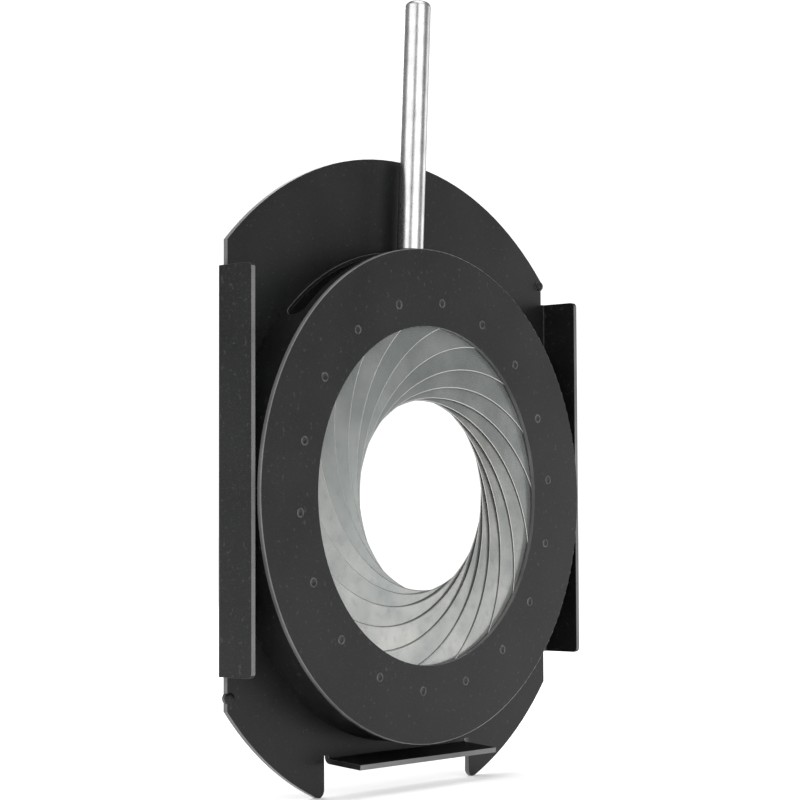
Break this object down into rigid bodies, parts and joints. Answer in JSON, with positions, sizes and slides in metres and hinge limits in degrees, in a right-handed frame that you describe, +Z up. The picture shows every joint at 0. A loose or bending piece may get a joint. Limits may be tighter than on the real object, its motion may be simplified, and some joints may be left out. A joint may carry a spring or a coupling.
{
  "type": "drop-in iris",
  "caption": "Adjustable round iris on a flat carrier plate for a profile spotlight; overlapping steel leaves close or open when the rod handle is pushed round.",
  "frame": {"origin": "on the light axis, at the front face of the carrier plate", "axes": "+Z up along the handle side, +X right as seen from the front, +Y along the light path from the front to the back"},
  "size_m": [0.1214, 0.0121, 0.1905],
  "materials": {
    "black_paint": "satin black paint",
    "leaf_steel": "satin rolled spring steel",
    "pin_steel": "blackened steel",
    "ring_steel": "plain sheet steel",
    "rod_metal": "satin turned aluminium",
    "stud_steel": "zinc plated",
    "rivet_steel": "painted over with the plate",
    "spring_steel": "spring steel"
  },
  "bodies": {
    "root": {"carrier_plate": "black_paint", "housing_can": "black_paint", "cover_ring": "black_paint", "housing_rivets": "rivet_steel", "brake_spring": "spring_steel"},
    "drive": {"drive_ring": "ring_steel", "handle_rod": "rod_metal", "handle_stud": "stud_steel"},
    "leaf_01_body": {"leaf_01": "leaf_steel", "leaf_pins_01": "pin_steel"},
    "leaf_02_body": {"leaf_02": "leaf_steel", "leaf_pins_02": "pin_steel"},
    "leaf_03_body": {"leaf_03": "leaf_steel", "leaf_pins_03": "pin_steel"},
    "leaf_04_body": {"leaf_04": "leaf_steel", "leaf_pins_04": "pin_steel"},
    "leaf_05_body": {"leaf_05": "leaf_steel", "leaf_pins_05": "pin_steel"},
    "leaf_06_body": {"leaf_06": "leaf_steel", "leaf_pins_06": "pin_steel"},
    "leaf_07_body": {"leaf_07": "leaf_steel", "leaf_pins_07": "pin_steel"},
    "leaf_08_body": {"leaf_08": "leaf_steel", "leaf_pins_08": "pin_steel"},
    "leaf_09_body": {"leaf_09": "leaf_steel", "leaf_pins_09": "pin_steel"},
    "leaf_10_body": {"leaf_10": "leaf_steel", "leaf_pins_10": "pin_steel"},
    "leaf_11_body": {"leaf_11": "leaf_steel", "leaf_pins_11": "pin_steel"},
    "leaf_12_body": {"leaf_12": "leaf_steel", "leaf_pins_12": "pin_steel"},
    "leaf_13_body": {"leaf_13": "leaf_steel", "leaf_pins_13": "pin_steel"},
    "leaf_14_body": {"leaf_14": "leaf_steel", "leaf_pins_14": "pin_steel"},
    "leaf_15_body": {"leaf_15": "leaf_steel", "leaf_pins_15": "pin_steel"},
    "leaf_16_body": {"leaf_16": "leaf_steel", "leaf_pins_16": "pin_steel"},
    "leaf_17_body": {"leaf_17": "leaf_steel", "leaf_pins_17": "pin_steel"},
    "leaf_18_body": {"leaf_18": "leaf_steel", "leaf_pins_18": "pin_steel"}
  },
  "joints": [
    {"name": "drive_turn", "type": "hinge", "parent": "root", "child": "drive", "pos_m": [0, 0, 0], "axis": [0, -1, 0], "range_deg": [-44.2, 43]},
    {"name": "leaf_01_swing", "type": "hinge", "parent": "root", "child": "leaf_01_body", "pos_m": [0.00388, -0.0098, 0.04624], "axis": [0, -1, 0], "range_deg": [-22.1, 21.5]},
    {"name": "leaf_02_swing", "type": "hinge", "parent": "root", "child": "leaf_02_body", "pos_m": [0.01946, -0.0098, 0.04212], "axis": [0, -1, 0], "range_deg": [-22.1, 21.5]},
    {"name": "leaf_03_swing", "type": "hinge", "parent": "root", "child": "leaf_03_body", "pos_m": [0.0327, -0.0098, 0.03292], "axis": [0, -1, 0], "range_deg": [-22.1, 21.5]},
    {"name": "leaf_04_swing", "type": "hinge", "parent": "root", "child": "leaf_04_body", "pos_m": [0.04198, -0.0098, 0.01976], "axis": [0, -1, 0], "range_deg": [-22.1, 21.5]},
    {"name": "leaf_05_swing", "type": "hinge", "parent": "root", "child": "leaf_05_body", "pos_m": [0.04621, -0.0098, 0.00421], "axis": [0, -1, 0], "range_deg": [-22.1, 21.5]},
    {"name": "leaf_06_swing", "type": "hinge", "parent": "root", "child": "leaf_06_body", "pos_m": [0.04486, -0.0098, -0.01185], "axis": [0, -1, 0], "range_deg": [-22.1, 21.5]},
    {"name": "leaf_07_swing", "type": "hinge", "parent": "root", "child": "leaf_07_body", "pos_m": [0.0381, -0.0098, -0.02648], "axis": [0, -1, 0], "range_deg": [-22.1, 21.5]},
    {"name": "leaf_08_swing", "type": "hinge", "parent": "root", "child": "leaf_08_body", "pos_m": [0.02675, -0.0098, -0.03792], "axis": [0, -1, 0], "range_deg": [-22.1, 21.5]},
    {"name": "leaf_09_swing", "type": "hinge", "parent": "root", "child": "leaf_09_body", "pos_m": [0.01217, -0.0098, -0.04478], "axis": [0, -1, 0], "range_deg": [-22.1, 21.5]},
    {"name": "leaf_10_swing", "type": "hinge", "parent": "root", "child": "leaf_10_body", "pos_m": [-0.00388, -0.0098, -0.04624], "axis": [0, -1, 0], "range_deg": [-22.1, 21.5]},
    {"name": "leaf_11_swing", "type": "hinge", "parent": "root", "child": "leaf_11_body", "pos_m": [-0.01946, -0.0098, -0.04212], "axis": [0, -1, 0], "range_deg": [-22.1, 21.5]},
    {"name": "leaf_12_swing", "type": "hinge", "parent": "root", "child": "leaf_12_body", "pos_m": [-0.0327, -0.0098, -0.03292], "axis": [0, -1, 0], "range_deg": [-22.1, 21.5]},
    {"name": "leaf_13_swing", "type": "hinge", "parent": "root", "child": "leaf_13_body", "pos_m": [-0.04198, -0.0098, -0.01976], "axis": [0, -1, 0], "range_deg": [-22.1, 21.5]},
    {"name": "leaf_14_swing", "type": "hinge", "parent": "root", "child": "leaf_14_body", "pos_m": [-0.04621, -0.0098, -0.00421], "axis": [0, -1, 0], "range_deg": [-22.1, 21.5]},
    {"name": "leaf_15_swing", "type": "hinge", "parent": "root", "child": "leaf_15_body", "pos_m": [-0.04486, -0.0098, 0.01185], "axis": [0, -1, 0], "range_deg": [-22.1, 21.5]},
    {"name": "leaf_16_swing", "type": "hinge", "parent": "root", "child": "leaf_16_body", "pos_m": [-0.0381, -0.0098, 0.02648], "axis": [0, -1, 0], "range_deg": [-22.1, 21.5]},
    {"name": "leaf_17_swing", "type": "hinge", "parent": "root", "child": "leaf_17_body", "pos_m": [-0.02675, -0.0098, 0.03792], "axis": [0, -1, 0], "range_deg": [-22.1, 21.5]},
    {"name": "leaf_18_swing", "type": "hinge", "parent": "root", "child": "leaf_18_body", "pos_m": [-0.01217, -0.0098, 0.04478], "axis": [0, -1, 0], "range_deg": [-22.1, 21.5]}
  ],
  "couplings": [
    {"joint": "leaf_01_swing", "follows": "drive_turn", "ratio": 0.5},
    {"joint": "leaf_02_swing", "follows": "drive_turn", "ratio": 0.5},
    {"joint": "leaf_03_swing", "follows": "drive_turn", "ratio": 0.5},
    {"joint": "leaf_04_swing", "follows": "drive_turn", "ratio": 0.5},
    {"joint": "leaf_05_swing", "follows": "drive_turn", "ratio": 0.5},
    {"joint": "leaf_06_swing", "follows": "drive_turn", "ratio": 0.5},
    {"joint": "leaf_07_swing", "follows": "drive_turn", "ratio": 0.5},
    {"joint": "leaf_08_swing", "follows": "drive_turn", "ratio": 0.5},
    {"joint": "leaf_09_swing", "follows": "drive_turn", "ratio": 0.5},
    {"joint": "leaf_10_swing", "follows": "drive_turn", "ratio": 0.5},
    {"joint": "leaf_11_swing", "follows": "drive_turn", "ratio": 0.5},
    {"joint": "leaf_12_swing", "follows": "drive_turn", "ratio": 0.5},
    {"joint": "leaf_13_swing", "follows": "drive_turn", "ratio": 0.5},
    {"joint": "leaf_14_swing", "follows": "drive_turn", "ratio": 0.5},
    {"joint": "leaf_15_swing", "follows": "drive_turn", "ratio": 0.5},
    {"joint": "leaf_16_swing", "follows": "drive_turn", "ratio": 0.5},
    {"joint": "leaf_17_swing", "follows": "drive_turn", "ratio": 0.5},
    {"joint": "leaf_18_swing", "follows": "drive_turn", "ratio": 0.5}
  ]
}
